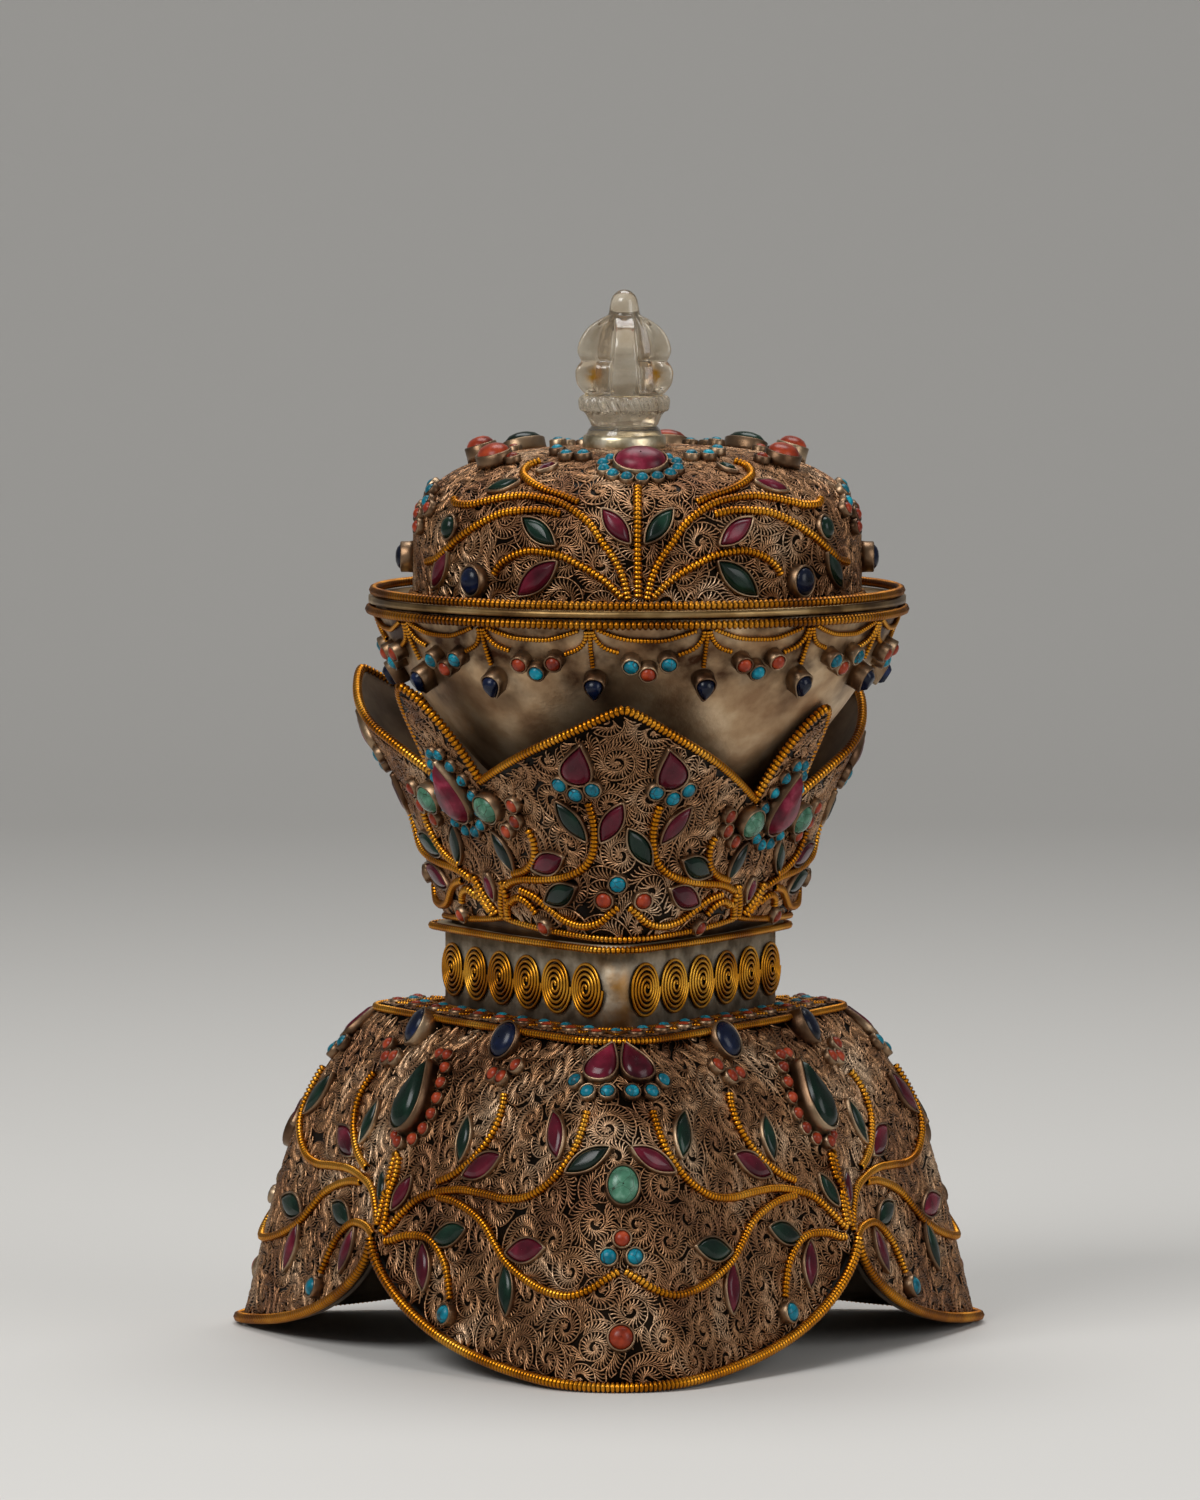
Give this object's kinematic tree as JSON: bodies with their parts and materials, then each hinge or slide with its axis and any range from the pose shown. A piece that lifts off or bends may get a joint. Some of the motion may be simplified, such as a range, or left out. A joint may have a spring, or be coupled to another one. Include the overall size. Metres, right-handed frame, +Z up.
{
  "type": "covered ritual skull cup on a stand",
  "caption": "Kapala: covered ritual bowl on a lobed three-cornered filigree stand, with set stones, coiled wire collar, domed lid and crystal finial.",
  "frame": {"origin": "on the table, under the centre of the whole piece's box", "axes": "+Z up; -Y towards the viewer, along the stand's front corner; +X to the viewer's right"},
  "size_m": [0.187, 0.1744, 0.2598],
  "materials": {
    "filigree_silver": "antique silver filigree, twisted wire on sheet, darkened between the wires",
    "sheet_silver": "plain tarnished silver sheet",
    "bowl_silver": "hammered and polished silver, warm tarnish",
    "setting_silver": "silver bezel, darkened low and bright at the lip",
    "gilt_wire": "gilded beaded wire, dark between the beads",
    "ruby_stone": "opaque ruby-red cabochon, polished",
    "green_stone": "opaque dark green cabochon, polished",
    "lapis_stone": "lapis blue cabochon, polished",
    "coral_stone": "coral red cabochon, satin",
    "turquoise_stone": "turquoise cabochon, satin",
    "rock_crystal": "carved clear rock crystal"
  },
  "bodies": {
    "stand": {"skirt_shell": "filigree_silver", "hem_wire_front": "gilt_wire", "hem_wire_right": "gilt_wire", "hem_wire_left": "gilt_wire", "skirt_right_bezel": "setting_silver", "skirt_right_stone": "green_stone", "skirt_back_bezel": "setting_silver", "skirt_back_stone": "green_stone", "skirt_left_bezel": "setting_silver", "skirt_left_stone": "green_stone", "shelf_plate": "filigree_silver", "shelf_edge_wire": "gilt_wire", "collar_band": "sheet_silver", "coil_scroll_right_1": "gilt_wire", "coil_scroll_right_2": "gilt_wire", "coil_scroll_right_3": "gilt_wire", "coil_scroll_right_4": "gilt_wire", "coil_scroll_right_5": "gilt_wire", "coil_scroll_right_6": "gilt_wire", "coil_scroll_back_1": "gilt_wire", "coil_scroll_back_2": "gilt_wire", "coil_scroll_back_3": "gilt_wire", "coil_scroll_back_4": "gilt_wire", "coil_scroll_back_5": "gilt_wire", "coil_scroll_back_6": "gilt_wire", "coil_scroll_left_1": "gilt_wire", "coil_scroll_left_2": "gilt_wire", "coil_scroll_left_3": "gilt_wire", "coil_scroll_left_4": "gilt_wire", "coil_scroll_left_5": "gilt_wire", "coil_scroll_left_6": "gilt_wire", "collar_plate": "sheet_silver", "collar_edge_wire": "gilt_wire", "holder_neck": "sheet_silver", "holder_shell": "filigree_silver", "petal_edge_wire": "gilt_wire", "holder_right_bezel": "setting_silver", "holder_right_stone": "ruby_stone", "holder_back_bezel": "setting_silver", "holder_back_stone": "ruby_stone", "holder_left_bezel": "setting_silver", "holder_left_stone": "ruby_stone", "bowl_seat": "sheet_silver"},
    "bowl": {"bowl_shell": "bowl_silver", "bowl_rim_wire": "gilt_wire", "bowl_fringe": "gilt_wire"},
    "lid": {"lid_shell": "filigree_silver", "lid_lip": "sheet_silver", "lid_rim_wire": "gilt_wire", "lid_front_bezel": "setting_silver", "lid_front_stone": "ruby_stone", "lid_right_bezel": "setting_silver", "lid_right_stone": "ruby_stone", "lid_left_bezel": "setting_silver", "lid_left_stone": "ruby_stone", "finial_socket": "sheet_silver", "crystal_finial": "rock_crystal", "socket_nut": "sheet_silver"}
  },
  "joints": [
    {"name": "bowl_lift", "type": "slide", "parent": "stand", "child": "bowl", "axis": [0, 0, 1], "range_m": [0, 0.12]},
    {"name": "lid_lift", "type": "slide", "parent": "bowl", "child": "lid", "axis": [0, 0, 1], "range_m": [0, 0.08]}
  ]
}
